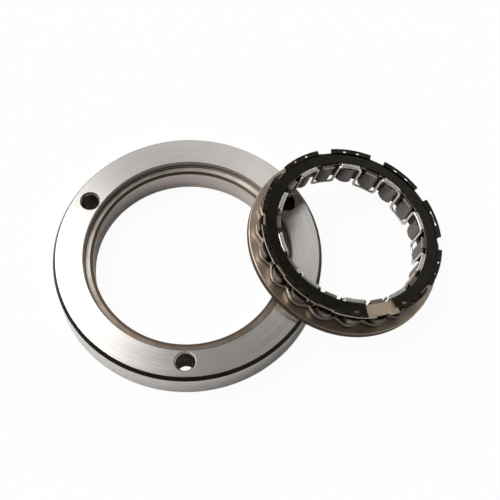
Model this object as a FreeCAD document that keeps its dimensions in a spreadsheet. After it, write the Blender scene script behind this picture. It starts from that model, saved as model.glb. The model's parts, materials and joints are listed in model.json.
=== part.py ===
import FreeCAD, Part
import math
import os
import Sketcher
from FreeCAD import Placement, Rotation, Vector

# Sprag clutch of a starter drive: a hardened outer race ring that lies on the bench, and
# the caged sprag set that leans on the ring's right-hand rim, flange down.
# The origin is the centre of the ring's bottom face, +Z up, millimetres.
# "Height" in the cage is measured from the underside of its flange, along its own axis.

doc = FreeCAD.newDocument("SpragClutch")
sheet = doc.addObject("Spreadsheet::Sheet", "Dims")

SIZES = [
    # outer race ring; radii of the caged set count inward from its bore
    ("race_bore_radius", 37.21),
    ("race_wall", 15.54),
    ("race_thickness", 14.1),
    ("race_lead_in_radial", 1.3),
    ("race_lead_in_axial", 0.6),
    ("recess_step", 3.59),
    ("recess_depth", 2.97),
    ("rim_chamfer_radial", 1.2),
    ("rim_chamfer_axial", 2.0),
    ("edge_break", 0.4),
    ("bolt_circle_step", 8.29),
    ("bolt_minor_radius", 3.4),
    ("bolt_mouth_radius", 4.15),
    ("bolt_count", 3),
    ("bolt_first_angle", 31.5),
    # where the caged set lies: far edge of the flange on the bench, and its bearing
    ("lean_angle", 14.22),
    ("lean_bearing", 6.36),
    ("cage_phase", 0.15),
    ("lean_clearance", 0.05),
    # flange of the caged set
    ("flange_recess_clearance", 1.5),
    ("flange_thickness", 2.9),
    ("flange_bore_inset", 3.81),
    ("flange_edge_break", 0.3),
    # outer cage: hoop with a window for each sprag, top plate, lugs, skirts and tongues
    ("sprag_count", 20),
    ("cage_hoop_wall", 1.2),
    ("cage_hoop_foot", 0.5),
    ("cage_post_width", 2.25),
    ("cage_plate_height", 11.34),
    ("cage_sheet", 0.5),
    ("cage_plate_overhang", 1.45),
    ("cage_plate_inset", 1.61),
    ("cage_skirt_drop", 1.2),
    ("cage_skirt_angle", 9.0),
    ("cage_tongue_width", 4.9),
    ("lug_count", 10),
    ("lug_angle", 26.5),
    ("lug_inset", 0.3),
    ("lug_ring_clearance", 0.11),
    ("lug_edge", 0.6),
    ("lug_reach", 1.95),
    ("lug_hole_angle", 4.4),
    ("lug_hole_width", 1.4),
    ("lug_hole_rim", 0.45),
    ("lug_hole_length", 1.2),
    ("lug_slot_width", 0.8),
    # split top ring
    ("top_ring_thickness", 0.9),
    ("top_ring_edge_clearance", 0.32),
    ("top_ring_gap_angle", 20.8),
    ("top_ring_gap_bearing", 288.4),
    ("top_ring_hole_radius", 1.0),
    ("top_ring_hole_setback", 7.0),
    # serpentine inner retainer
    ("sprag_space", 8.33),
    ("retainer_shaft_clearance", 0.07),
    ("retainer_wall", 0.6),
    ("retainer_bottom_height", 0.65),
    ("retainer_top_rise", 0.81),
    ("retainer_bar_height", 0.7),
    ("retainer_leg_width", 0.9),
    ("retainer_inside_corner", 0.9),
    ("retainer_outside_corner", 1.7),
    ("retainer_lip_angle", 14.6),
    ("retainer_lip_clearance", 0.13),
    # ribbon spring: corrugated rail and upright fingers
    ("ribbon_sheet", 0.35),
    ("ribbon_rail_lift", 0.3),
    ("ribbon_rail_width", 2.1),
    ("ribbon_crest_inset", 0.41),
    ("ribbon_depth", 2.2),
    ("ribbon_crest_relief", 0.21263),
    ("ribbon_finger_width", 1.6),
    ("ribbon_finger_gap", 0.25),
    # sprags
    ("sprag_pivot_inset", 4.21),
    ("sprag_race_clearance", 0.11),
    ("sprag_shaft_grip", 0.03),
    ("sprag_foot_clearance", 0.25),
    ("sprag_top_clearance", 0.2),
    ("sprag_inner_cam", 4.7),
    ("sprag_outer_cam", 5.0),
    ("sprag_cam_offset", 0.45),
    ("sprag_head_width", 6.2),
    ("sprag_head_length", 2.9),
    ("sprag_waist_width", 4.2),
    ("sprag_waist_length", 3.0),
    ("sprag_rail_clearance", 0.3),
    ("sprag_rail_gap", 1.5),
    ("sprag_hoop_clearance", 0.7),
    ("sprag_skirt_clearance", 0.6),
]
for row, (alias, value) in enumerate(SIZES, start=1):
    sheet.set(f"A{row}", alias)
    sheet.set(f"B{row}", str(value))
    sheet.setAlias(f"B{row}", alias)
doc.recompute()


def dim(alias):
    """The present value of one driving dimension."""
    return float(sheet.get(alias))


def evaluate(expression):
    """The number that an expression over the driving dimensions stands for."""
    return float(sheet.evalExpression(expression.replace("Dims.", "")))


# Radii and heights that follow from the driving dimensions

RACE_OUTSIDE = "(Dims.race_bore_radius + Dims.race_wall)"
RECESS = "(Dims.race_bore_radius + Dims.recess_step)"
FLANGE_BORE = "(Dims.race_bore_radius - Dims.flange_bore_inset)"
HOOP_INSIDE = f"({FLANGE_BORE} - Dims.cage_hoop_wall)"
PLATE_INSIDE = f"({HOOP_INSIDE} - Dims.cage_plate_overhang)"
PLATE_OUTSIDE = "(Dims.race_bore_radius - Dims.cage_plate_inset)"
PLATE_TOP = "(Dims.cage_plate_height + Dims.cage_sheet)"
TOP_RING_TOP = f"({PLATE_TOP} + Dims.top_ring_thickness)"
LUG_TOP = f"({TOP_RING_TOP} + Dims.lug_ring_clearance + Dims.cage_sheet)"
RETAINER_TOP = f"({PLATE_TOP} + Dims.retainer_top_rise)"
LUG_OUTSIDE = "(Dims.race_bore_radius - Dims.lug_inset)"
SHAFT = "(Dims.race_bore_radius - Dims.sprag_space)"
RETAINER_INSIDE = f"({SHAFT} + Dims.retainer_shaft_clearance)"
PIVOT = "(Dims.race_bore_radius - Dims.sprag_pivot_inset)"
CREST = "(Dims.race_bore_radius - Dims.ribbon_crest_inset)"
RAIL_TOP = "(Dims.flange_thickness + Dims.ribbon_rail_lift + Dims.ribbon_rail_width)"
SPRAG_FOOT = ("(Dims.retainer_bottom_height + Dims.retainer_bar_height"
              " + Dims.sprag_foot_clearance)")
PITCH = "(360 / Dims.sprag_count)"
# The rail's crest bend nearly fills the half pitch in the valleys, so it follows the pitch.
RAIL_BEND = (f"(({CREST} - Dims.ribbon_depth) * sin({PITCH} / 2)"
             " - Dims.ribbon_crest_relief)")


# Sketches and features

def origin_part(body, role):
    """One of a body's own origin planes or axes."""
    return next(item for item in body.Origin.OriginFeatures if item.Role == role)


def new_sketch(body, role, name, turn="0", lift="0"):
    """A sketch on an origin plane, turned about the body's Z axis or moved off the plane."""
    sketch = body.newObject("Sketcher::SketchObject", name)
    sketch.AttachmentSupport = [(origin_part(body, role), "")]
    sketch.MapMode = "FlatFace"
    axis = Vector(0, 0, 1) if role == "XY_Plane" else Vector(0, 1, 0)
    sketch.AttachmentOffset = Placement(Vector(), Rotation(axis, evaluate(turn)))
    if turn != "0":
        sketch.setExpression("AttachmentOffset.Rotation.Angle", turn)
    if lift != "0":
        # The offset counts in the unturned plane's axes, so it follows the turn.
        if role == "XY_Plane":
            sketch.setExpression("AttachmentOffset.Base.z", lift)
        else:
            sketch.setExpression("AttachmentOffset.Base.x", f"({lift}) * sin({turn})")
            sketch.setExpression("AttachmentOffset.Base.z", f"({lift}) * cos({turn})")
    return sketch


def tie_point(sketch, geometry, end, across, up):
    """Hold one point of a sketch at a place given by two expressions."""
    for kind, axis, text in (("DistanceX", -2, across), ("DistanceY", -1, up)):
        value = evaluate(text)
        if abs(value) < 1e-9:
            sketch.addConstraint(Sketcher.Constraint("PointOnObject", geometry, end, axis))
            continue
        if value > 0:
            ends = (-1, 1, geometry, end)
        else:
            ends = (geometry, end, -1, 1)
            text = f"-({text})"
        index = sketch.addConstraint(Sketcher.Constraint(kind, *ends, abs(value)))
        sketch.setExpression(f"Constraints[{index}]", text)


def outline(sketch, corners):
    """A closed outline. A corner is (across, up), or (across, up, radius, turn) where the
    edge to the next corner is an arc that bends left (turn 1) or right (turn -1)."""
    points = [Vector(evaluate(corner[0]), evaluate(corner[1]), 0) for corner in corners]
    edges = []
    for number, corner in enumerate(corners):
        here, there = points[number], points[(number + 1) % len(points)]
        if len(corner) == 2:
            geometry = sketch.addGeometry(Part.LineSegment(here, there), False)
            edges.append((geometry, 1, 2))
            continue
        radius, turn = evaluate(corner[2]), corner[3]
        chord = there - here
        left = Vector(-chord.y, chord.x, 0).normalize()
        sagitta = radius - math.sqrt(radius ** 2 - (chord.Length / 2) ** 2)
        crown = (here + there) * 0.5 - left * sagitta * turn
        geometry = sketch.addGeometry(Part.Arc(here, crown, there), False)
        edges.append((geometry, 1, 2) if turn > 0 else (geometry, 2, 1))
    for number, (geometry, start, end) in enumerate(edges):
        after, after_start, _ = edges[(number + 1) % len(edges)]
        sketch.addConstraint(Sketcher.Constraint("Coincident", geometry, end, after, after_start))
    for corner, (geometry, start, end) in zip(corners, edges):
        tie_point(sketch, geometry, start, corner[0], corner[1])
        if len(corner) == 4:
            value = evaluate(corner[2])
            index = sketch.addConstraint(Sketcher.Constraint("Radius", geometry, value))
            sketch.setExpression(f"Constraints[{index}]", corner[2])
    return sketch


def box_corners(left, right, bottom, top):
    """The four corners of an upright rectangle."""
    return [(left, bottom), (right, bottom), (right, top), (left, top)]


def new_body(label):
    """An empty sub-part whose label is its name."""
    body = doc.addObject("PartDesign::Body", label)
    body.Label = label
    return body


def revolve(body, name, corners, angle="360", start="0"):
    """Turn a radius and height outline about the body's Z axis, from the start bearing."""
    sketch = outline(new_sketch(body, "XZ_Plane", name + "Profile", turn=start), corners)
    feature = body.newObject("PartDesign::Revolution", name)
    feature.Profile = sketch
    feature.ReferenceAxis = (sketch, ["V_Axis"])
    feature.Angle = evaluate(angle)
    if angle != "360":
        feature.setExpression("Angle", angle)
    return feature


def pocket(body, name, sketch, depth):
    """Cut a sketch away from its plane, on the side that its normal points to."""
    feature = body.newObject("PartDesign::Pocket", name)
    feature.Profile = sketch
    feature.Reversed = True
    feature.Length = evaluate(depth)
    feature.setExpression("Length", depth)
    return feature


def polar(body, name, features, count):
    """Repeat features evenly about the body's Z axis."""
    doc.recompute()
    pattern = body.newObject("PartDesign::PolarPattern", name)
    pattern.Originals = features
    pattern.Axis = (origin_part(body, "Z_Axis"), [""])
    pattern.Angle = 360
    pattern.Occurrences = int(evaluate(count))
    pattern.setExpression("Occurrences", count)
    body.Tip = pattern
    return pattern


# Outer race ring: a flat washer-like race with a recess for the flange and three threaded holes

def outer_race_ring():
    body = new_body("outer_race_ring")
    floor = "Dims.race_thickness - Dims.recess_depth"
    lead_in = "Dims.race_bore_radius + Dims.race_lead_in_radial"
    revolve(body, "RaceRing", [
        ("Dims.race_bore_radius", "Dims.edge_break"),
        ("Dims.race_bore_radius + Dims.edge_break", "0"),
        (f"{RACE_OUTSIDE} - Dims.edge_break", "0"),
        (RACE_OUTSIDE, "Dims.edge_break"),
        (RACE_OUTSIDE, "Dims.race_thickness - Dims.rim_chamfer_axial"),
        (f"{RACE_OUTSIDE} - Dims.rim_chamfer_radial", "Dims.race_thickness"),
        (RECESS, "Dims.race_thickness"),
        (RECESS, floor),
        (lead_in, floor),
        ("Dims.race_bore_radius", f"{floor} - Dims.race_lead_in_axial"),
    ])
    sketch = new_sketch(body, "XZ_Plane", "BoltHoleProfile", turn="Dims.bolt_first_angle")
    centre = "(Dims.race_bore_radius + Dims.bolt_circle_step)"
    minor = f"{centre} + Dims.bolt_minor_radius"
    mouth = f"{centre} + Dims.bolt_mouth_radius"
    taper = "Dims.bolt_mouth_radius - Dims.bolt_minor_radius"
    outline(sketch, [
        (centre, "-Dims.edge_break"),
        (minor, "-Dims.edge_break"),
        (minor, f"Dims.race_thickness - ({taper})"),
        (mouth, "Dims.race_thickness"),
        (mouth, "Dims.race_thickness + Dims.edge_break"),
        (centre, "Dims.race_thickness + Dims.edge_break"),
    ])
    length = evaluate("Dims.race_thickness")
    middle = evaluate(centre)
    line = Part.LineSegment(Vector(middle, 0, 0), Vector(middle, length, 0))
    axis = sketch.addGeometry(line, True)
    tie_point(sketch, axis, 1, centre, "0")
    tie_point(sketch, axis, 2, centre, "Dims.race_thickness")
    hole = body.newObject("PartDesign::Groove", "BoltHole")
    hole.Profile = sketch
    hole.ReferenceAxis = (sketch, ["Axis0"])
    hole.Angle = 360
    polar(body, "BoltHoles", [hole], "Dims.bolt_count")
    return body


# Flange of the caged set: a plain turned ring that drops into the race ring's recess

def cage_flange():
    body = new_body("cage_flange")
    rim = f"({RECESS} - Dims.flange_recess_clearance)"
    revolve(body, "FlangeRing", [
        (FLANGE_BORE, "0"),
        (f"{rim} - Dims.flange_edge_break", "0"),
        (rim, "Dims.flange_edge_break"),
        (rim, "Dims.flange_thickness - Dims.flange_edge_break"),
        (f"{rim} - Dims.flange_edge_break", "Dims.flange_thickness"),
        (FLANGE_BORE, "Dims.flange_thickness"),
    ])
    return body


# Outer cage: a hoop pressed in the flange, a window for each sprag, and a top plate with
# lugs that flare up and fold back over the split top ring. Between the lugs a short
# skirt hangs from the plate, and a tongue covers the end of the sprag.

def outer_cage():
    body = new_body("outer_cage")
    plate = "Dims.cage_plate_height"
    revolve(body, "HoopAndPlate", [
        (HOOP_INSIDE, "Dims.cage_hoop_foot"),
        (FLANGE_BORE, "Dims.cage_hoop_foot"),
        (FLANGE_BORE, plate),
        (PLATE_OUTSIDE, plate),
        (PLATE_OUTSIDE, PLATE_TOP),
        (PLATE_INSIDE, PLATE_TOP),
        (PLATE_INSIDE, plate),
        (HOOP_INSIDE, plate),
    ])
    half_window = f"({FLANGE_BORE} * sin({PITCH} / 2) - Dims.cage_post_width / 2)"
    window = new_sketch(body, "YZ_Plane", "WindowOutline", turn=PITCH)
    outline(window, box_corners(
        f"-{half_window}", half_window, "Dims.flange_thickness", plate))
    cut = pocket(body, "Window", window, PLATE_OUTSIDE)
    polar(body, "Windows", [cut], "Dims.sprag_count")

    under = f"{LUG_TOP} - Dims.cage_sheet"
    lip = f"{LUG_OUTSIDE} - Dims.lug_reach"
    lug = revolve(body, "Lug", [
        (f"{PLATE_OUTSIDE} - Dims.cage_sheet", plate),
        (PLATE_OUTSIDE, plate),
        (LUG_OUTSIDE, f"{LUG_TOP} - Dims.lug_edge"),
        (LUG_OUTSIDE, LUG_TOP),
        (lip, LUG_TOP),
        (lip, under),
        (f"{LUG_OUTSIDE} - Dims.cage_sheet", under),
        (f"{PLATE_OUTSIDE} - Dims.cage_sheet / 2", PLATE_TOP),
        (f"{PLATE_OUTSIDE} - Dims.cage_sheet", PLATE_TOP),
    ], angle="Dims.lug_angle", start=f"{PITCH} - Dims.lug_angle / 2")
    features = [lug]
    for side, sign in (("Left", "-"), ("Right", "+")):
        bearing = f"{PITCH} {sign} Dims.lug_hole_angle"
        hole = new_sketch(body, "XY_Plane", f"LugHole{side}Outline", turn=bearing, lift=PLATE_TOP)
        outline(hole, box_corners(
            f"{LUG_OUTSIDE} - Dims.lug_hole_rim - Dims.lug_hole_length",
            f"{LUG_OUTSIDE} - Dims.lug_hole_rim",
            "-Dims.lug_hole_width / 2", "Dims.lug_hole_width / 2"))
        features.append(pocket(body, f"LugHole{side}", hole, LUG_TOP))
    skirt = revolve(body, "Skirt", box_corners(
        f"{PLATE_OUTSIDE} - Dims.cage_sheet", PLATE_OUTSIDE,
        f"{plate} - Dims.cage_skirt_drop", PLATE_TOP),
        angle="Dims.cage_skirt_angle", start=f"2 * {PITCH} - Dims.cage_skirt_angle / 2")
    tongue = new_sketch(body, "XY_Plane", "TongueOutline", turn=f"2 * {PITCH}", lift=plate)
    outline(tongue, box_corners(
        RETAINER_INSIDE, f"{PLATE_INSIDE} + Dims.cage_sheet",
        "-Dims.cage_tongue_width / 2", "Dims.cage_tongue_width / 2"))
    pad = body.newObject("PartDesign::Pad", "Tongue")
    pad.Profile = tongue
    pad.Length = evaluate("Dims.cage_sheet")
    pad.setExpression("Length", "Dims.cage_sheet")
    polar(body, "LugsSkirtsAndTongues", features + [skirt, pad], "Dims.lug_count")

    # The first lug's two holes run together into one slot.
    slot = new_sketch(body, "XY_Plane", "SlotOutline", turn=PITCH, lift=PLATE_TOP)
    half = f"{LUG_OUTSIDE} * sin(Dims.lug_hole_angle)"
    edge = f"({LUG_OUTSIDE} - Dims.lug_hole_rim) * cos(Dims.lug_hole_angle)"
    outline(slot, box_corners(f"{edge} - Dims.lug_slot_width", edge, f"-{half}", half))
    pocket(body, "Slot", slot, LUG_TOP)
    doc.recompute()
    return body


# Split top ring: lies on the cage plate inside the lugs, with a hole near each end

def cage_top_ring():
    body = new_body("cage_top_ring")
    top = f"{PLATE_TOP} + Dims.top_ring_thickness"
    outside = f"{PLATE_OUTSIDE} - Dims.top_ring_edge_clearance"
    half_gap = "Dims.top_ring_gap_angle / 2"
    revolve(body, "SplitRing", box_corners(PLATE_INSIDE, outside, PLATE_TOP, top),
            angle="360 - Dims.top_ring_gap_angle",
            start=f"Dims.top_ring_gap_bearing + {half_gap}")
    circle_radius = f"({outside}) - 1.2 * Dims.top_ring_hole_radius"
    for side, sign in (("Left", "-"), ("Right", "+")):
        bearing = (f"Dims.top_ring_gap_bearing {sign} "
                   f"({half_gap} + Dims.top_ring_hole_setback)")
        sketch = new_sketch(body, "XY_Plane", f"EndHole{side}Outline", turn=bearing)
        radius = evaluate("Dims.top_ring_hole_radius")
        centre = Vector(evaluate(circle_radius), 0, 0)
        circle = sketch.addGeometry(Part.Circle(centre, Vector(0, 0, 1), radius), False)
        tie_point(sketch, circle, 3, circle_radius, "0")
        index = sketch.addConstraint(Sketcher.Constraint("Radius", circle, radius))
        sketch.setExpression(f"Constraints[{index}]", "Dims.top_ring_hole_radius")
        pocket(body, f"EndHole{side}", sketch, LUG_TOP)
    doc.recompute()
    return body


# Inner retainer: one strip that winds over every second sprag and under the next

def retainer_window(sketch, half, closed_end, open_end, up):
    """A bay with cut inside corners at its closed end and a round mouth at its open end.
    up is 1 where the closed end lies above the open end, and -1 where it lies below."""
    inside = "Dims.retainer_inside_corner"
    outside = "Dims.retainer_outside_corner"
    beyond = "Dims.retainer_bar_height"
    away, back = ("+", "-") if up > 0 else ("-", "+")
    # The mouth corners are the strip's own outside corners, so they bend away from the bay.
    return outline(sketch, [
        (f"-{half} - {outside}", f"{open_end} {back} {beyond}"),
        (f"{half} + {outside}", f"{open_end} {back} {beyond}"),
        (f"{half} + {outside}", open_end, outside, -up),
        (half, f"{open_end} {away} {outside}"),
        (half, f"{closed_end} {back} {inside}"),
        (f"{half} - {inside}", closed_end),
        (f"-{half} + {inside}", closed_end),
        (f"-{half}", f"{closed_end} {back} {inside}"),
        (f"-{half}", f"{open_end} {away} {outside}", outside, -up),
        (f"-{half} - {outside}", open_end),
    ])


def inner_retainer():
    body = new_body("inner_retainer")
    bottom = "Dims.retainer_bottom_height"
    top = RETAINER_TOP
    bar = "Dims.retainer_bar_height"
    outside = f"{RETAINER_INSIDE} + Dims.retainer_wall"
    revolve(body, "RetainerWall", box_corners(RETAINER_INSIDE, outside, bottom, top))
    half = f"({RETAINER_INSIDE} * sin({PITCH} / 2) - Dims.retainer_leg_width / 2)"
    over = new_sketch(body, "YZ_Plane", "OverBarBay", turn=PITCH)
    retainer_window(over, half, f"({top} - {bar})", bottom, 1)
    under = new_sketch(body, "YZ_Plane", "UnderBarBay", turn=f"2 * {PITCH}")
    retainer_window(under, half, f"({bottom} + {bar})", top, -1)
    bays = [pocket(body, "OverBay", over, PLATE_INSIDE),
            pocket(body, "UnderBay", under, PLATE_INSIDE)]
    polar(body, "Bays", bays, "Dims.lug_count")
    lip = revolve(body, "TopBarLip", box_corners(
        f"{RETAINER_INSIDE} + Dims.retainer_wall / 2",
        f"{PLATE_INSIDE} - Dims.retainer_lip_clearance", f"{top} - {bar}", top),
        angle="Dims.retainer_lip_angle", start=f"{PITCH} - Dims.retainer_lip_angle / 2")
    polar(body, "TopBarLips", [lip], "Dims.lug_count")
    doc.recompute()
    return body


# Ribbon spring: a corrugated rail round the sprags' feet with a finger between each two

def ribbon_spring():
    body = new_body("ribbon_spring")
    foot = "Dims.flange_thickness"
    thick = "Dims.ribbon_sheet"
    bend = RAIL_BEND
    valley = f"({CREST} - Dims.ribbon_depth)"
    crest = f"({CREST} - {bend})"
    # The straight flank touches the crest bend and ends in the valley between two sprags.
    low_along = f"({valley} * cos({PITCH} / 2) - {crest})"
    low_across = f"({valley} * sin({PITCH} / 2))"
    reach = f"sqrt({low_along} ^ 2 + {low_across} ^ 2)"
    turn = f"(atan2({low_across}; {low_along}) - acos({bend} / {reach}))"

    def touch_point(radius, side):
        return f"{crest} + {radius} * cos({turn})", f"{side}{radius} * sin({turn})"

    def low_point(radius, side):
        return f"{radius} * cos({PITCH} / 2)", f"{side}{radius} * sin({PITCH} / 2)"

    inner_bend = f"({bend} - {thick})"
    inner_valley = f"({valley} - {thick})"
    rail = new_sketch(body, "XY_Plane", "RailOutline", lift=f"{foot} + Dims.ribbon_rail_lift")
    outline(rail, [
        low_point(valley, "-"),
        touch_point(bend, "-") + (bend, 1),
        touch_point(bend, ""),
        low_point(valley, ""),
        low_point(inner_valley, ""),
        touch_point(inner_bend, "") + (inner_bend, -1),
        touch_point(inner_bend, "-"),
        low_point(inner_valley, "-"),
    ])
    finger = new_sketch(body, "XY_Plane", "FingerOutline", turn=f"{PITCH} / 2", lift=foot)
    outline(finger, box_corners(inner_valley, valley, "-Dims.ribbon_finger_width / 2",
                                "Dims.ribbon_finger_width / 2"))
    pads = []
    for name, sketch, length in (
            ("Rail", rail, "Dims.ribbon_rail_width"),
            ("Finger", finger, f"Dims.cage_plate_height - Dims.ribbon_finger_gap - {foot}")):
        pad = body.newObject("PartDesign::Pad", name)
        pad.Profile = sketch
        pad.Length = evaluate(length)
        pad.setExpression("Length", length)
        pads.append(pad)
    polar(body, "RailAndFingers", pads, "Dims.sprag_count")
    doc.recompute()
    return body


# Sprags: waisted cams that stand between the races, about their own rocking axes

def sprag(number):
    name = f"Sprag{number:02d}"
    body = new_body(f"sprag_{number:02d}")
    half = "(Dims.sprag_head_width / 2)"
    waist = "(Dims.sprag_waist_width / 2)"
    reach = "(Dims.sprag_waist_length / 2)"
    offset = "Dims.sprag_cam_offset"
    outer = "Dims.sprag_outer_cam"
    inner = "Dims.sprag_inner_cam"
    outer_centre = (f"(Dims.race_bore_radius - Dims.sprag_race_clearance - {PIVOT}"
                    f" - {outer})")
    inner_centre = f"({SHAFT} - Dims.sprag_shaft_grip - {PIVOT} + {inner})"
    sketch = new_sketch(body, "XY_Plane", name + "Outline")
    outline(sketch, [
        (f"{outer_centre} + sqrt({outer} ^ 2 - ({half} + {offset}) ^ 2)", f"-{half}", outer, 1),
        (f"{outer_centre} + sqrt({outer} ^ 2 - ({half} - {offset}) ^ 2)", half),
        (reach, half),
        ("0", waist),
        (f"-{reach}", half),
        (f"{inner_centre} - sqrt({inner} ^ 2 - ({half} + {offset}) ^ 2)", half, inner, 1),
        (f"{inner_centre} - sqrt({inner} ^ 2 - ({half} - {offset}) ^ 2)", f"-{half}"),
        (f"-{reach}", f"-{half}"),
        ("0", f"-{waist}"),
        (reach, f"-{half}"),
    ])
    length = f"Dims.cage_plate_height - Dims.sprag_top_clearance - {SPRAG_FOOT}"
    pad = body.newObject("PartDesign::Pad", name + "Pad")
    pad.Profile = sketch
    pad.Length = evaluate(length)
    pad.setExpression("Length", length)

    # The foot inside the hoop stands lower than what stands over the flange.
    beyond = "Dims.sprag_outer_cam"
    edge = f"({half} + Dims.sprag_rail_clearance)"
    face = f"{HOOP_INSIDE} - Dims.sprag_hoop_clearance - {PIVOT}"
    foot = new_sketch(body, "XY_Plane", name + "FootOutline")
    outline(foot, box_corners(face, beyond, f"-{edge}", edge))
    pocket(body, name + "Foot", foot,
           f"Dims.flange_thickness + Dims.sprag_foot_clearance - {SPRAG_FOOT}")

    # A step, concentric with the rail's crest, lets the rail pass outside it.
    centre = f"({CREST} - {RAIL_BEND} - {PIVOT})"
    face = f"({RAIL_BEND} - Dims.ribbon_sheet - Dims.sprag_rail_clearance)"
    near = f"{centre} + sqrt({face} ^ 2 - {edge} ^ 2)"
    step = new_sketch(body, "XY_Plane", name + "StepOutline")
    outline(step, [
        (near, f"-{edge}", face, 1),
        (near, edge),
        (beyond, edge),
        (beyond, f"-{edge}"),
    ])
    head_foot = f"({RAIL_TOP} + Dims.sprag_rail_gap - {SPRAG_FOOT})"
    pocket(body, name + "Step", step, head_foot)

    # Above its head the sprag stays inside the cage's skirts.
    face = f"{PLATE_OUTSIDE} - Dims.cage_sheet - Dims.sprag_skirt_clearance - {PIVOT}"
    crown = new_sketch(body, "XY_Plane", name + "CrownOutline",
                       lift=f"{head_foot} + Dims.sprag_head_length")
    outline(crown, box_corners(face, beyond, f"-{edge}", edge))
    pocket(body, name + "Crown", crown, "Dims.cage_plate_height")
    doc.recompute()
    return body


# Where the caged set lies: its flange bridges from the bench to the race ring's rim, which
# it meets at two points of its bore edge

def lean():
    """The caged set's place: origin at the middle of the flange's underside."""
    edge = evaluate(f"{RECESS} - Dims.flange_recess_clearance - Dims.flange_edge_break")
    rim = evaluate(f"{RACE_OUTSIDE} - Dims.rim_chamfer_radial")
    rise = dim("race_thickness") + dim("lean_clearance")
    angle = math.radians(dim("lean_angle"))
    # How far the rim points lie up the slope from the middle, and from the race ring's axis.
    up_slope = rise / math.sin(angle) - edge
    rim_along = math.sqrt(rim ** 2 - evaluate(FLANGE_BORE) ** 2 + up_slope ** 2)
    along = rim_along + up_slope * math.cos(angle)
    bearing = math.radians(dim("lean_bearing"))
    across = Vector(-math.sin(bearing), math.cos(bearing), 0)
    base = Vector(along * math.cos(bearing), along * math.sin(bearing), edge * math.sin(angle))
    tilt = Rotation(across, math.degrees(angle))
    return Placement(base, tilt * Rotation(Vector(0, 0, 1), dim("cage_phase")))


cage = lean()
nodes = [outer_race_ring()]
for piece in (cage_flange(), outer_cage(), cage_top_ring(), inner_retainer(), ribbon_spring()):
    piece.Placement = cage
    nodes.append(piece)
for number in range(1, int(dim("sprag_count")) + 1):
    piece = sprag(number)
    bearing = 360 * number / dim("sprag_count")
    turn = Placement(Vector(), Rotation(Vector(0, 0, 1), bearing))
    seat = Placement(Vector(evaluate(PIVOT), 0, evaluate(SPRAG_FOOT)), Rotation())
    piece.Placement = cage * turn * seat
    nodes.append(piece)
doc.recompute()

for item in doc.Objects:
    if "Invalid" in item.State or "Error" in item.State:
        raise RuntimeError(f"{item.Label} failed to build: {item.State}")
for piece in nodes:
    shape = piece.Shape
    if shape.isNull() or not shape.isValid() or len(shape.Solids) != 1:
        raise RuntimeError(f"{piece.Label} is not one valid solid: {len(shape.Solids)}")

os.makedirs("parts", exist_ok=True)
for piece in nodes:
    piece.Shape.exportStep(os.path.join("parts", piece.Label + ".step"))
    box = piece.Shape.BoundBox
    print(f"{piece.Label:18s} {piece.Shape.Volume:10.2f} mm3  z {box.ZMin:7.2f} to {box.ZMax:7.2f}")
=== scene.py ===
import json
import math

import bpy
from mathutils import Matrix, Vector

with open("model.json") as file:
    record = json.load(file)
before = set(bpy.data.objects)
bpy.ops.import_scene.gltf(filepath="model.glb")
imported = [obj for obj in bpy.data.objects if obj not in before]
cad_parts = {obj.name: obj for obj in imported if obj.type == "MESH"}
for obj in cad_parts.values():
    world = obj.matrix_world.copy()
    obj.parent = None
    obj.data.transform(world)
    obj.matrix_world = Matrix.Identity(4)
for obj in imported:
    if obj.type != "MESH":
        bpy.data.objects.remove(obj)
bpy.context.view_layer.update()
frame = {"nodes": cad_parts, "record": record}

MM = 0.001
nodes = frame["nodes"]
record = frame["record"]

# Where the caged set lies, as the joint of its own axis gives it

turn = next(joint for joint in record["behaviour"]["joints"] if joint["name"] == "cage_turn")
UP = Vector((0, 0, 1))
SET_AXIS = Vector(turn["axis"]).normalized()
SET_SEAT = Vector(turn["pos_m"])
SET_LEAN = Matrix.Rotation(SET_AXIS.angle(UP), 4, UP.cross(SET_AXIS).normalized())
SET_PHASE = Matrix.Rotation(math.radians(0.15), 4, "Z")
CAGED_SET = Matrix.Translation(SET_SEAT) @ SET_LEAN @ SET_PHASE


# Camera, at the photograph's place: its shift and distance are in metres

CAMERA_PITCH = math.radians(63.67)
CAMERA_ROLL = math.radians(-1.49)
CAMERA_RIGHT = 0.02464
CAMERA_UP = 0.007174
CAMERA_DISTANCE = 0.46307
SENSOR_WIDTH = 36
FOCAL_LENGTH = 82.84


def set_camera():
    forward = Vector((0, math.cos(CAMERA_PITCH), -math.sin(CAMERA_PITCH)))
    right = Vector((1, 0, 0))
    up = right.cross(forward)
    side = math.cos(CAMERA_ROLL) * right - math.sin(CAMERA_ROLL) * up
    top = math.sin(CAMERA_ROLL) * right + math.cos(CAMERA_ROLL) * up
    place = side * CAMERA_RIGHT + top * CAMERA_UP - forward * CAMERA_DISTANCE
    camera = bpy.data.objects.new("camera", bpy.data.cameras.new("camera"))
    bpy.context.scene.collection.objects.link(camera)
    camera.matrix_world = Matrix((
        (side.x, top.x, -forward.x, place.x),
        (side.y, top.y, -forward.y, place.y),
        (side.z, top.z, -forward.z, place.z),
        (0, 0, 0, 1)))
    camera.data.sensor_width = SENSOR_WIDTH
    camera.data.lens = FOCAL_LENGTH
    camera.data.clip_start = 0.01
    bpy.context.scene.camera = camera


# Node building

def colour(red, green, blue):
    """An sRGB colour of 0 to 255 as linear values."""
    def linear(value):
        value /= 255
        return value / 12.92 if value <= 0.04045 else ((value + 0.055) / 1.055) ** 2.4
    return (linear(red), linear(green), linear(blue), 1.0)


def grey(level):
    """A linear grey."""
    return (level, level, level, 1.0)


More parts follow.
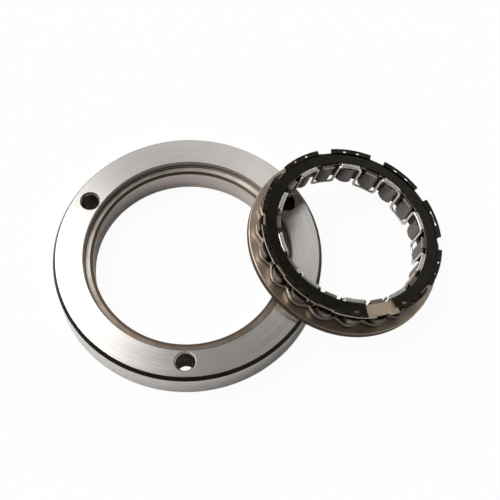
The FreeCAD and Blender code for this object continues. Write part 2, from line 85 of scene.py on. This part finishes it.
class Tree:
    """Short names for the nodes of one material or world."""

    def __init__(self, owner):
        owner.use_nodes = True
        self.tree = owner.node_tree
        self.tree.nodes.clear()

    def add(self, kind, inputs=(), **settings):
        node = self.tree.nodes.new(kind)
        for name, value in settings.items():
            setattr(node, name, value)
        for key, value in dict(inputs).items():
            self.put(node.inputs[key], value)
        return node

    def put(self, socket, value):
        if isinstance(value, bpy.types.NodeSocket):
            self.tree.links.new(value, socket)
        else:
            socket.default_value = value

    def math(self, operation, *values):
        node = self.add("ShaderNodeMath", operation=operation)
        for socket, value in zip(node.inputs, values):
            self.put(socket, value)
        return node.outputs[0]

    def plus(self, first, second):
        return self.math("ADD", first, second)

    def minus(self, first, second):
        return self.math("SUBTRACT", first, second)

    def times(self, first, second):
        return self.math("MULTIPLY", first, second)

    def length(self, x, y):
        return self.math("SQRT", self.plus(self.times(x, x), self.times(y, y)))

    def step(self, value, low, high, start=0.0, end=1.0):
        """A smooth change from start to end while value goes from low to high."""
        node = self.add("ShaderNodeMapRange", interpolation_type="SMOOTHSTEP")
        for key, item in (("Value", value), ("From Min", low), ("From Max", high),
                          ("To Min", start), ("To Max", end)):
            self.put(node.inputs[key], item)
        return node.outputs[0]

    def above(self, value, limit, soft):
        """1 above a limit, 0 below it, with a soft change."""
        return self.step(value, limit - soft, limit + soft)

    def below(self, value, limit, soft):
        """1 below a limit, 0 above it, with a soft change."""
        return self.step(value, limit - soft, limit + soft, 1.0, 0.0)

    def window(self, value, low, high, soft):
        """1 between low and high, 0 outside, with soft sides."""
        return self.times(self.above(value, low, soft), self.below(value, high, soft))

    def mix(self, factor, first, second):
        node = self.add("ShaderNodeMix", data_type="RGBA")
        for key, item in ((0, factor), (6, first), (7, second)):
            self.put(node.inputs[key], item)
        return node.outputs[2]

    def paint(self, base, mask, tone):
        """An sRGB tone laid over a base where the mask is 1."""
        return self.mix(mask, base, colour(*tone))

    def grade(self, value, low, high, tones):
        """From the first to the second of two sRGB tones while value goes from low to high."""
        first, second = tones
        return self.mix(self.step(value, low, high), colour(*first), colour(*second))

    def noise(self, vector, scale, detail=2.0, rough=0.5):
        node = self.add("ShaderNodeTexNoise", {"Vector": vector, "Scale": scale,
                                               "Detail": detail, "Roughness": rough})
        return node.outputs[0]

    def vector(self, x, y, z):
        return self.add("ShaderNodeCombineXYZ", {0: x, 1: y, 2: z}).outputs[0]


class Metal(Tree):
    """A metal surface with its own turning axis: x, y, height, radius and angle in millimetres."""

    def __init__(self, name, place=None):
        self.material = bpy.data.materials.new(name)
        super().__init__(self.material)
        self.place = place
        at = self.add("ShaderNodeTexCoord").outputs["Object"]
        if place is not None:
            at = self.add("ShaderNodeMapping", {"Vector": at, "Location": place.translation,
                                                "Rotation": place.to_euler()},
                          vector_type="TEXTURE").outputs[0]
        self.at = self.add("ShaderNodeVectorMath", {0: at, "Scale": 1 / MM},
                           operation="SCALE").outputs[0]
        self.x, self.y, self.z = self.add("ShaderNodeSeparateXYZ", {0: self.at}).outputs
        self.radius = self.length(self.x, self.y)
        self.angle = self.math("ARCTAN2", self.y, self.x)

    def to_world(self, vector):
        """A direction of the turning frame as the shader needs it."""
        if self.place is not None:
            vector = self.add("ShaderNodeMapping", {"Vector": vector,
                                                    "Rotation": self.place.to_euler()},
                              vector_type="VECTOR").outputs[0]
        return self.add("ShaderNodeVectorTransform", {0: vector}, vector_type="VECTOR",
                        convert_from="OBJECT", convert_to="WORLD").outputs[0]

    def across(self, lay):
        """The direction in the surface that crosses the lay, along which it blurs."""
        normal = self.add("ShaderNodeNewGeometry").outputs["Normal"]
        cross = self.add("ShaderNodeVectorMath", {0: normal, 1: lay}, operation="CROSS_PRODUCT")
        return self.add("ShaderNodeVectorMath", {0: cross.outputs[0]},
                        operation="NORMALIZE").outputs[0]

    def turned(self):
        """Blur direction of a surface with marks round the turning axis."""
        return self.across(self.to_world(self.vector(self.times(self.y, -1.0), self.x, 0.0)))

    def drawn(self):
        """Blur direction of a surface with marks along the turning axis."""
        return self.across(self.to_world(self.vector(0.0, 0.0, 1.0)))

    def turning_marks(self, radial, around):
        """A fine noise that is narrow along the radius and long round the axis."""
        return self.noise(self.vector(self.times(self.radius, radial),
                                      self.times(self.angle, around), self.z),
                          scale=1.0, detail=3.0, rough=0.6)

    def finish(self, base, roughness, edge, metallic=1.0, aniso=0.0, tangent=None,
               height=None, strength=0.0, depth=0.0):
        """The shader, with rounded edges and a relief: edge and depth in millimetres."""
        shader = self.add("ShaderNodeBsdfPrincipled", {"Base Color": base,
                                                       "Roughness": roughness})
        shader.inputs["Metallic"].default_value = metallic
        if aniso:
            shader.inputs["Anisotropic"].default_value = aniso
            self.put(shader.inputs["Tangent"], tangent)
        normal = self.add("ShaderNodeBevel", {"Radius": edge * MM}, samples=6).outputs[0]
        if height is not None:
            normal = self.add("ShaderNodeBump", {"Strength": strength, "Distance": depth * MM,
                                                 "Height": height, "Normal": normal}).outputs[0]
        self.put(shader.inputs["Normal"], normal)
        self.add("ShaderNodeOutputMaterial", {"Surface": shader.outputs[0]})
        return self.material


def dress(name, material):
    """A CAD node takes a material on each of its slots."""
    item = nodes[name]
    if not item.material_slots:
        item.data.materials.append(material)
    for place in item.material_slots:
        place.material = material


# Race ring: radii and heights in millimetres, from the record's mounts where it has them

mounts = {mount["name"]: mount for mount in record["mounts"]}


def round_mount(name):
    """Radius and upper end of a round mount on the ring's axis."""
    mount = mounts[name]
    return mount["dims"]["r_mm"], mount["pos_m"][2] / MM + mount["dims"]["length_mm"] / 2


RING_RADIUS, CHAMFER_FOOT = round_mount("race_spigot")
BORE_RADIUS, BORE_TOP = round_mount("race_bore")
RING_TOP = CHAMFER_FOOT + 2.0
RECESS_RADIUS = BORE_RADIUS + 3.59
RECESS_FLOOR = RING_TOP - 2.97

# Where the ring's tones change: a little off the edges that they follow
CHAMFER_INSIDE = RING_RADIUS - 1.25
CHAMFER_HEIGHTS = CHAMFER_FOOT, RING_TOP - 0.08
RECESS_EDGE_RADII = RECESS_RADIUS, RECESS_RADIUS + 0.32
RECESS_EDGE_BOTTOM = RING_TOP - 0.55
RECESS_OUTSIDE = RECESS_RADIUS + 0.02
RECESS_BOTTOM = BORE_TOP - 0.13
RECESS_WALL_BOTTOM = RECESS_FLOOR + 0.09
RECESS_WALL_SHADE = 12.0, 13.2
BORE_OUTSIDE = BORE_RADIUS + 0.19
LEAD_IN_RADII = BORE_RADIUS + 0.04, BORE_RADIUS + 1.34
LEAD_IN_BOTTOM = BORE_TOP - 0.03
LEAD_IN_TOP = RECESS_FLOOR - 0.03

BOLT_CIRCLE_RADIUS = mounts["flywheel_bolts"]["dims"]["pcd_mm"] / 2
BOLT_SPACING = 2 * math.pi / mounts["flywheel_bolts"]["dims"]["count"]
FIRST_BOLT = math.radians(31.5)
THREAD_RADIUS = 4.125
THREAD_PITCH = 1.25
# Height of the threads and of the broad bands in the relief, against the fine turning marks
THREAD_RELIEF = 30.0
BAND_RELIEF = 0.6

# The recess floor turns from painted shade on its near side to painted light on its far side along
# a slanting line: its slope, and where the change fades out
SHADE_SLOPE = 0.6
SHADE_FADE = -10.0, 25.0

# Dark turning lines on the recess floor: inner and outer radius, strength
RECESS_LINES = (
    (40.1, 40.6, 0.8),
    (38.75, 38.9, 0.6),
    (39.35, 39.42, 0.4),
)

GROUND_STEEL = (212, 209, 205), (227, 224, 220)
GROUND_STEEL_DULL = (202, 198, 194)
CHAMFER_PAINTED_SHADE = (32, 29, 26)
RECESS_EDGE_BROWN = (104, 92, 82)
LIT_RECESS_FLOOR = (240, 234, 226), (214, 204, 192)
SHADED_RECESS_FLOOR = (150, 142, 132), (124, 110, 96)
RECESS_WALL = (106, 96, 86), (164, 156, 148)
TURNING_LINE = (92, 78, 64)
BORE_STEEL = (212, 203, 198)
LEAD_IN_SHADE = (96, 82, 70)
THREAD = (84, 78, 72), (214, 206, 198)


def thread(m):
    """Wall mask and groove depth of the threaded holes."""
    turned = m.plus(m.angle, BOLT_SPACING / 2 - FIRST_BOLT + 2 * math.pi)
    off_bolt = m.minus(m.math("MODULO", turned, BOLT_SPACING), BOLT_SPACING / 2)
    across = m.minus(m.times(m.radius, m.math("COSINE", off_bolt)), BOLT_CIRCLE_RADIUS)
    along = m.times(m.radius, m.math("SINE", off_bolt))
    wall = m.below(m.length(across, along), THREAD_RADIUS, soft=0.075)
    spin = m.math("DIVIDE", m.math("ARCTAN2", along, across), 2 * math.pi)
    groove = m.math("PINGPONG", m.plus(m.math("DIVIDE", m.z, THREAD_PITCH), spin), 0.5)
    return wall, groove


def recess(m):
    """Colour of the recess: its floor has painted light on one side and painted shade on the
    other, and its wall has painted shade low down.
    """
    spread = m.vector(m.times(m.x, 0.11), m.times(m.y, 0.11), m.z)
    grime = m.noise(spread, scale=1.0, detail=4.0, rough=0.6)
    # Painted shade on the floor's near side and painted light on its far side.
    side = m.step(m.minus(m.y, m.times(m.x, SHADE_SLOPE)), *SHADE_FADE)
    floor = m.mix(side, m.grade(grime, 0.35, 0.7, SHADED_RECESS_FLOOR),
                  m.grade(grime, 0.35, 0.7, LIT_RECESS_FLOOR))
    # Painted shade: the recess wall is darker towards the floor.
    wall = m.grade(m.z, *RECESS_WALL_SHADE, RECESS_WALL)
    base = m.mix(m.above(m.z, RECESS_WALL_BOTTOM, soft=0.08), floor, wall)
    for inner, outer, strength in RECESS_LINES:
        line = m.times(m.window(m.radius, inner, outer, soft=0.05), strength)
        base = m.paint(base, line, TURNING_LINE)
    return base


def ring_material():
    """Ground steel, with painted shade on the chamfer and lead-in, a recess in painted light and
    shade, a bright bore and threaded holes shaded in their grooves.
    """
    m = Metal("ground_ring")
    fine = m.turning_marks(14.0, 0.8)
    bands = m.noise(m.vector(m.times(m.radius, 1.1), 0.0, 3.0), scale=1.0)
    cloud = m.noise(m.at, scale=0.06, detail=3.0, rough=0.55)
    base = m.grade(fine, 0.3, 0.7, GROUND_STEEL)
    base = m.paint(base, m.times(m.step(cloud, 0.35, 0.7), 0.3), GROUND_STEEL_DULL)

    # Painted shade: the ring's chamfer is painted near black.
    chamfer = m.times(m.window(m.z, *CHAMFER_HEIGHTS, soft=0.06),
                      m.above(m.radius, CHAMFER_INSIDE, soft=0.1))
    base = m.paint(base, chamfer, CHAMFER_PAINTED_SHADE)
    edge = m.times(m.window(m.radius, *RECESS_EDGE_RADII, soft=0.04),
                   m.above(m.z, RECESS_EDGE_BOTTOM, soft=0.05))
    base = m.paint(base, edge, RECESS_EDGE_BROWN)
    in_recess = m.times(m.below(m.radius, RECESS_OUTSIDE, soft=0.04),
                        m.above(m.z, RECESS_BOTTOM, soft=0.1))
    base = m.mix(in_recess, base, recess(m))

    bore = m.times(m.below(m.radius, BORE_OUTSIDE, soft=0.1),
                   m.below(m.z, LEAD_IN_BOTTOM, soft=0.1))
    base = m.paint(base, bore, BORE_STEEL)
    # Painted shade on the lead-in chamfer into the bore.
    lead_in = m.times(m.window(m.radius, *LEAD_IN_RADII, soft=0.04),
                      m.window(m.z, LEAD_IN_BOTTOM, LEAD_IN_TOP, soft=0.03))
    base = m.paint(base, lead_in, LEAD_IN_SHADE)
    wall, groove = thread(m)
    # Painted shade in the thread grooves and painted highlight on their crests.
    base = m.mix(wall, base, m.grade(groove, 0.05, 0.45, THREAD))

    height = m.plus(fine, m.times(bands, BAND_RELIEF))
    height = m.plus(height, m.times(m.times(groove, wall), THREAD_RELIEF))
    rough = m.plus(m.step(fine, 0.2, 0.8, start=0.2, end=0.28), m.times(in_recess, 0.24))
    return m.finish(base, rough, edge=0.15, aniso=0.8, tangent=m.turned(),
                    height=height, strength=0.25, depth=0.02)


# Flange of the caged set: radii and heights in millimetres on the set's own axis

FLANGE_RIM_RADIUS = 39.175
FLANGE_RIM_TOP = 2.675

FLANGE_BRONZE = (186, 170, 154), (212, 196, 180)
FLANGE_WORN = (150, 134, 118)
FLANGE_RIM = (90, 80, 70)


def flange_material():
    """Turned bronze-brown metal, rougher on its rim and darker there, partly a duller brown and
    partly painted shade.
    """
    m = Metal("turned_flange", CAGED_SET)
    fine = m.turning_marks(9.0, 1.2)
    cloud = m.noise(m.at, scale=0.12, detail=3.0, rough=0.6)
    base = m.grade(fine, 0.3, 0.75, FLANGE_BRONZE)
    base = m.paint(base, m.times(m.step(cloud, 0.4, 0.7), 0.5), FLANGE_WORN)
    # The rim's dark tone is partly a duller brown and partly painted shade.
    rim = m.times(m.above(m.radius, FLANGE_RIM_RADIUS, soft=0.075),
                  m.below(m.z, FLANGE_RIM_TOP, soft=0.075))
    base = m.paint(base, rim, FLANGE_RIM)
    rough = m.plus(m.step(fine, 0.2, 0.8, start=0.28, end=0.4), m.times(rim, 0.25))
    return m.finish(base, rough, edge=0.12, aniso=0.75, tangent=m.turned(),
                    height=fine, strength=0.2, depth=0.02)


# Outer cage: radii and heights in millimetres on the set's own axis

PLATE_BOTTOM = 11.05
PLATE_INSIDE = 30.7
TONGUE_TIP = 29.225
LUG_BOTTOM = 12.75
LUG_OUTSIDE = 36.86
# The gap's bearing is given as the ARCTAN2 node gives angles, from -180 to 180 degrees.
TOP_RING_GAP_ANGLE = math.radians(288.4 - 360)
TOP_RING_GAP_HALF = math.radians(10.4)

HOOP_PAINTED_SHADE = (70, 62, 55), (46, 41, 36)
PLATE_BROWN = (206, 188, 166)
TONGUE = (196, 184, 170), (136, 124, 113)
LUG_BLACK = (40, 37, 34), (62, 56, 51)


def cage_material():
    """Hoop painted dark as shade, brown plate and bright tongues, with blackened lugs on top."""
    m = Metal("cage_sheet", CAGED_SET)
    cloud = m.noise(m.at, scale=0.35, detail=3.0, rough=0.6)
    grain = m.noise(m.at, scale=4.0)
    # Painted shade: the hoop below the plate is painted dark for the shade inside the cage.
    base = m.grade(cloud, 0.35, 0.7, HOOP_PAINTED_SHADE)
    base = m.paint(base, m.above(m.z, PLATE_BOTTOM, soft=0.15), PLATE_BROWN)
    tongue = m.grade(m.radius, TONGUE_TIP - 0.075, TONGUE_TIP + 0.075, TONGUE)
    base = m.mix(m.below(m.radius, PLATE_INSIDE, soft=0.05), base, tongue)
    # Under the gap of the top ring the lugs keep the plate's brown.
    off_gap = m.math("ABSOLUTE", m.minus(m.angle, TOP_RING_GAP_ANGLE))
    covered = m.above(off_gap, TOP_RING_GAP_HALF, soft=math.radians(0.2))
    top = m.mix(covered, colour(*PLATE_BROWN), m.grade(cloud, 0.3, 0.7, LUG_BLACK))
    lug = m.times(m.above(m.z, LUG_BOTTOM, soft=0.05), m.below(m.radius, LUG_OUTSIDE, soft=0.02))
    base = m.mix(lug, base, top)
    rough = m.step(m.z, LUG_BOTTOM - 0.15, LUG_BOTTOM + 0.05, start=0.42, end=0.3)
    return m.finish(base, rough, edge=0.12, metallic=0.85,
                    height=grain, strength=0.08, depth=0.02)


# Split top ring

TOP_RING_BLACK = (54, 53, 48), (64, 62, 56)


def top_ring_material():
    """Smooth blackened steel."""
    m = Metal("dark_ring", CAGED_SET)
    cloud = m.noise(m.at, scale=0.3, detail=4.0, rough=0.6)
    base = m.grade(cloud, 0.35, 0.75, TOP_RING_BLACK)
    return m.finish(base, m.step(cloud, 0.3, 0.8, start=0.08, end=0.16), edge=0.1,
                    height=cloud, strength=0.05, depth=0.03)


# Inner retainer

RETAINER_STEEL = (244, 240, 235), (214, 208, 200)


def strip_material():
    """Bright strip, smooth and round at its edges."""
    m = Metal("bright_strip", CAGED_SET)
    cloud = m.noise(m.at, scale=0.5)
    base = m.grade(cloud, 0.35, 0.75, RETAINER_STEEL)
    return m.finish(base, m.step(cloud, 0.3, 0.7, start=0.22, end=0.28), edge=0.6)


# Ribbon spring: heights in millimetres on the set's own axis

RAIL_SHADOW_LINE = 3.2, 4.2
RAIL_EDGE = 5.0
RAIL_TOP = 5.4

RAIL_SHADOW_AND_STEEL = (44, 38, 33), (190, 180, 168)
RAIL_EDGE_HIGHLIGHT = (242, 236, 226)
FINGER_DARK = (66, 60, 54)


def rail_material():
    """Steel, with painted shadow near the flange and a painted highlight on its upper edge, with
    dark fingers.
    """
    m = Metal("spring_strip", CAGED_SET)
    grain = m.noise(m.at, scale=3.0)
    # Painted shadow: the rail is dark low down, where it meets the flange.
    base = m.grade(m.z, *RAIL_SHADOW_LINE, RAIL_SHADOW_AND_STEEL)
    # Painted highlight along the rail's upper edge.
    base = m.paint(base, m.above(m.z, RAIL_EDGE, soft=0.1), RAIL_EDGE_HIGHLIGHT)
    base = m.paint(base, m.above(m.z, RAIL_TOP, soft=0.04), FINGER_DARK)
    return m.finish(base, m.step(grain, 0.3, 0.7, start=0.34, end=0.44), edge=0.1,
                    height=grain, strength=0.1, depth=0.02)


# Sprags: the radii between which their flanks lie, in millimetres on the set's own axis

FLANK_RADII = 29.9, 36.5

SPRAG_STEEL = (106, 99, 96), (152, 145, 142)
SPRAG_FLANK_DULL_AND_SHADE = (52, 47, 43)
SPRAG_STAIN = (120, 112, 104)


def sprag_material():
    """Grey steel with its grain along the axis, dark between the two rubbing faces: partly dull
    unground flanks, partly painted shade between the sprags.
    """
    m = Metal("sprag_grain", CAGED_SET)
    drawn_out = m.vector(m.times(m.x, 5.5), m.times(m.y, 5.5), m.times(m.z, 0.12))
    lines = m.noise(drawn_out, scale=1.0, detail=3.0, rough=0.65)
    cloud = m.noise(m.at, scale=0.25, detail=3.0)
    base = m.grade(lines, 0.35, 0.7, SPRAG_STEEL)
    # The flanks' dark tone is partly dull unground steel and partly painted shade in the gaps
    # between sprags.
    base = m.paint(base, m.window(m.radius, *FLANK_RADII, soft=0.25), SPRAG_FLANK_DULL_AND_SHADE)
    base = m.paint(base, m.times(m.step(cloud, 0.4, 0.7), 0.35), SPRAG_STAIN)
    return m.finish(base, m.step(lines, 0.3, 0.7, start=0.3, end=0.42), edge=0.1,
                    aniso=0.5, tangent=m.drawn(), height=lines, strength=0.35, depth=0.04)


# Floor: sizes in metres. Beyond the pale sheet the floor is painted dark as shade, which only the
# metal sees.

FLOOR_HALF = 6.0
FLOOR_DROP = 0.00005
SHEET_END = 0.16, 0.34
SHEET_WHITE = grey(0.9), grey(0.93)
FAR_FLOOR_SHADE = grey(0.03)
FLOOR_GLOW = 0.95


def floor_material():
    """A plain pale sheet to the metal's reflections, and near white where the camera sees it."""
    material = bpy.data.materials.new("pale_floor")
    t = Tree(material)
    path = t.add("ShaderNodeLightPath").outputs
    seen = t.math("MAXIMUM", path["Is Camera Ray"], path["Is Transmission Ray"])
    at = t.add("ShaderNodeTexCoord").outputs["Object"]
    speckle = t.noise(at, scale=300.0)
    tone = t.mix(t.step(speckle, 0.2, 0.8), *SHEET_WHITE)
    away = t.add("ShaderNodeVectorMath", {0: at}, operation="LENGTH").outputs["Value"]
    # Painted shade: beyond the sheet the floor is dark to everything but the camera.
    dark = t.times(t.step(away, *SHEET_END), t.minus(1.0, seen))
    tone = t.mix(dark, tone, FAR_FLOOR_SHADE)
    plain = t.add("ShaderNodeBsdfDiffuse", {"Color": tone}).outputs[0]
    glow = t.add("ShaderNodeEmission", {"Color": grey(1.0), "Strength": 1.0}).outputs[0]
    share = t.times(seen, FLOOR_GLOW)
    both = t.add("ShaderNodeMixShader", {0: share, 1: plain, 2: glow}).outputs[0]
    t.add("ShaderNodeOutputMaterial", {"Surface": both})
    return material


def set_floor():
    mesh = bpy.data.meshes.new("floor")
    corners = [(-FLOOR_HALF, -FLOOR_HALF, 0), (FLOOR_HALF, -FLOOR_HALF, 0),
               (FLOOR_HALF, FLOOR_HALF, 0), (-FLOOR_HALF, FLOOR_HALF, 0)]
    mesh.from_pydata(corners, [], [(0, 1, 2, 3)])
    floor = bpy.data.objects.new("floor", mesh)
    bpy.context.scene.collection.objects.link(floor)
    floor.location.z = -FLOOR_DROP
    mesh.materials.append(floor_material())


# Light: a sky whose level changes with the view's height, and soft boxes on it

SKY = (
    # height from and to, level there and there
    (-0.2, 0.9, 0.3, 0.1),
    (0.2, 0.5, 0.4, 0.0),
)
BOXES = (
    # azimuth, elevation, inner and outer size, gain: four lights, and two dark places
    (158, 53, 12, 31, 4.6),
    (110, 28, 30, 39, 0.8),
    (64, 50, 6, 20, 0.06),
    (40, 14, 22, 40, 0.45),
    (20, 62, 8, 26, -0.06),
    (285, 3, 12, 30, -0.1),
)
DARKEST = 0.02
LIGHT_TINT = (1.0, 0.99, 0.98, 1)


def set_world():
    world = bpy.data.worlds.new("studio")
    bpy.context.scene.world = world
    t = Tree(world)
    view = t.add("ShaderNodeTexCoord").outputs["Generated"]
    height = t.add("ShaderNodeSeparateXYZ", {0: view}).outputs[2]

    def towards(azimuth, elevation, inner, outer):
        """1 within inner degrees of a direction, 0 beyond outer degrees."""
        a, e = math.radians(azimuth), math.radians(elevation)
        spot = (math.cos(e) * math.cos(a), math.cos(e) * math.sin(a), math.sin(e))
        dot = t.add("ShaderNodeVectorMath", {0: view, 1: spot}, operation="DOT_PRODUCT")
        return t.step(dot.outputs["Value"], math.cos(math.radians(outer)),
                      math.cos(math.radians(inner)))

    level = 0.0
    for low, high, start, end in SKY:
        level = t.plus(level, t.step(height, low, high, start, end))
    for azimuth, elevation, inner, outer, gain in BOXES:
        level = t.plus(level, t.times(towards(azimuth, elevation, inner, outer), gain))
    level = t.math("MAXIMUM", level, DARKEST)
    back = t.add("ShaderNodeBackground", {"Color": LIGHT_TINT, "Strength": level})
    t.add("ShaderNodeOutputWorld", {"Surface": back.outputs[0]})


# The scene

set_camera()
set_floor()
set_world()

dress("outer_race_ring", ring_material())
dress("cage_flange", flange_material())
dress("outer_cage", cage_material())
dress("cage_top_ring", top_ring_material())
dress("inner_retainer", strip_material())
dress("ribbon_spring", rail_material())
grained = sprag_material()
for name in sorted(nodes):
    if name.startswith("sprag_"):
        dress(name, grained)

bpy.context.scene.view_settings.view_transform = "Standard"
